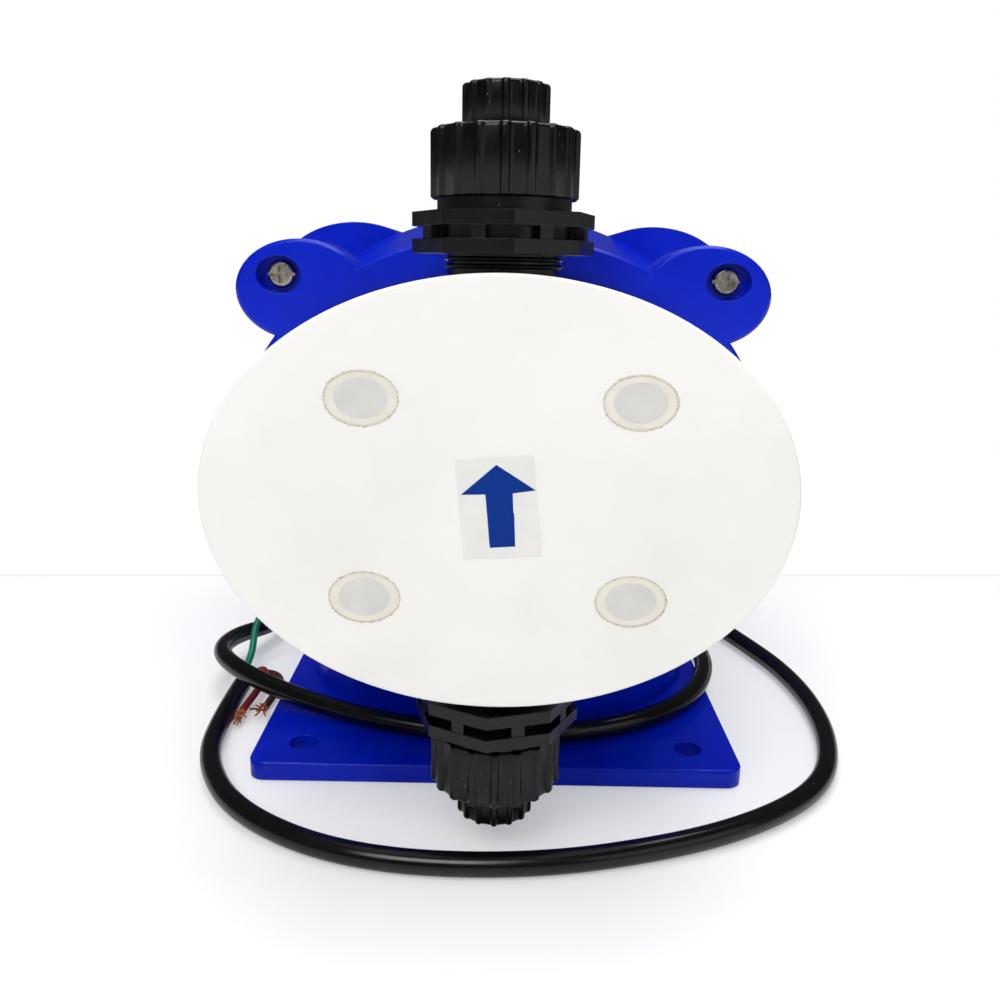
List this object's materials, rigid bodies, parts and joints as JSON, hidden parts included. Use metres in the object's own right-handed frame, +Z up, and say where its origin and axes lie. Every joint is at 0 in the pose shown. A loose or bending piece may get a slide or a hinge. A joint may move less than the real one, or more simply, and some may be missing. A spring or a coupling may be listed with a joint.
{
  "type": "diaphragm metering pump",
  "caption": "Solenoid diaphragm metering pump: lobed housing on a square base, wide oval liquid head, upright ball valves with ribbed union nuts, knobs behind, cable with bare ends.",
  "frame": {"origin": "centre of the base plate's four-hole pattern on the plate's underside", "axes": "+Z up, the pump head faces -Y, +X to the right seen from the head"},
  "size_m": [0.2491, 0.3353, 0.1917],
  "materials": {
    "blue_abs": "moulded gloss",
    "grey_pp": "moulded satin",
    "white_ptfe": "machined satin",
    "plug_pe": "translucent satin",
    "label_film": "clear film",
    "zinc_steel": "zinc plated",
    "steel": "turned",
    "painted_steel": "black enamel",
    "brass": "turned",
    "copper": "enamelled winding",
    "black_nylon": "moulded semi-gloss",
    "rocker_red": "gloss",
    "lamp_green": "clear",
    "board_green": "solder mask",
    "bobbin_white": "moulded",
    "rubber_black": "moulded",
    "ceramic_white": "polished",
    "cable_pvc": "gloss sheath",
    "core_green": "wire insulation",
    "core_red": "wire insulation",
    "core_brown": "wire insulation"
  },
  "bodies": {
    "housing": {"base_plate": "blue_abs", "pump_housing": "blue_abs", "pedestal": "blue_abs", "front_cover": "blue_abs", "rear_cover": "blue_abs", "head_adapter": "grey_pp", "pump_head": "white_ptfe", "bolt_plugs": "plug_pe", "flow_label": "label_film", "base_screws": "zinc_steel", "front_cover_screws": "zinc_steel", "rear_cover_screws": "zinc_steel", "head_bolts": "zinc_steel", "spindle_nut": "brass", "rate_control": "steel", "power_switch": "black_nylon", "power_lamp": "lamp_green", "circuit_board": "board_green", "board_posts": "brass", "cable_gland": "black_nylon", "solenoid_frame": "painted_steel", "solenoid_end_plate": "painted_steel", "shaft_bush": "brass", "coil_bobbin": "bobbin_white", "coil_winding": "copper", "return_spring": "steel", "diaphragm": "rubber_black", "mains_cable": "cable_pvc", "core_green": "core_green", "core_red": "core_red", "core_brown": "core_brown", "discharge_body": "black_nylon", "discharge_seat": "rubber_black", "discharge_seal": "rubber_black", "discharge_hose_nipple": "black_nylon", "suction_body": "black_nylon", "suction_seat": "rubber_black", "suction_seal": "rubber_black", "suction_hose_nipple": "black_nylon"},
    "plunger": {"armature": "steel", "plunger_shaft": "steel", "diaphragm_core": "white_ptfe"},
    "stroke_stop": {"stroke_spindle": "steel"},
    "stroke_dial": {"stroke_knob": "black_nylon"},
    "rate_dial": {"rate_knob": "black_nylon"},
    "rocker": {"switch_rocker": "rocker_red"},
    "discharge_valve_ball": {"discharge_ball": "ceramic_white"},
    "suction_valve_ball": {"suction_ball": "ceramic_white"},
    "discharge_union": {"discharge_union_nut": "black_nylon"},
    "discharge_hose_cap": {"discharge_tube_nut": "black_nylon"},
    "suction_union": {"suction_union_nut": "black_nylon"},
    "suction_hose_cap": {"suction_tube_nut": "black_nylon"}
  },
  "joints": [
    {"name": "plunger_stroke", "type": "slide", "parent": "housing", "child": "plunger", "axis": [0, -1, 0], "range_m": [0, 0.0012], "stiffness_N_per_m": 1500, "springref_m": -0.002, "deforming": ["return_spring"]},
    {"name": "stroke_adjust", "type": "hinge", "parent": "housing", "child": "stroke_dial", "pos_m": [0, 0.088, 0.1005], "axis": [0, 1, 0], "range_deg": [0, 270]},
    {"name": "stroke_feed", "type": "slide", "parent": "housing", "child": "stroke_stop", "axis": [0, -1, 0], "range_m": [0, 0.00112]},
    {"name": "rate_adjust", "type": "hinge", "parent": "housing", "child": "rate_dial", "pos_m": [0.038, 0.088, 0.124], "axis": [0, 1, 0], "range_deg": [0, 270]},
    {"name": "rocker_tilt", "type": "hinge", "parent": "housing", "child": "rocker", "pos_m": [-0.036, 0.086, 0.124], "axis": [1, 0, 0], "range_deg": [0, 16]},
    {"name": "discharge_ball_lift", "type": "slide", "parent": "housing", "child": "discharge_valve_ball", "axis": [0, 0, 1], "range_m": [0, 0.0015]},
    {"name": "suction_ball_lift", "type": "slide", "parent": "housing", "child": "suction_valve_ball", "axis": [0, 0, 1], "range_m": [0, 0.0015]},
    {"name": "discharge_union_turn", "type": "hinge", "parent": "housing", "child": "discharge_union", "pos_m": [0, -0.122, 0.175], "axis": [0, 0, 1], "range_deg": [0, 180]},
    {"name": "discharge_cap_turn", "type": "hinge", "parent": "housing", "child": "discharge_hose_cap", "pos_m": [0, -0.122, 0.188], "axis": [0, 0, 1], "range_deg": [0, 180]},
    {"name": "suction_union_turn", "type": "hinge", "parent": "housing", "child": "suction_union", "pos_m": [0, -0.122, 0.026], "axis": [0, 0, -1], "range_deg": [0, 180]},
    {"name": "suction_cap_turn", "type": "hinge", "parent": "housing", "child": "suction_hose_cap", "pos_m": [0, -0.122, 0.012], "axis": [0, 0, -1], "range_deg": [0, 180]}
  ],
  "couplings": [
    {"joint": "stroke_adjust", "follows": "stroke_feed", "rad_per_m": 4188.8}
  ]
}
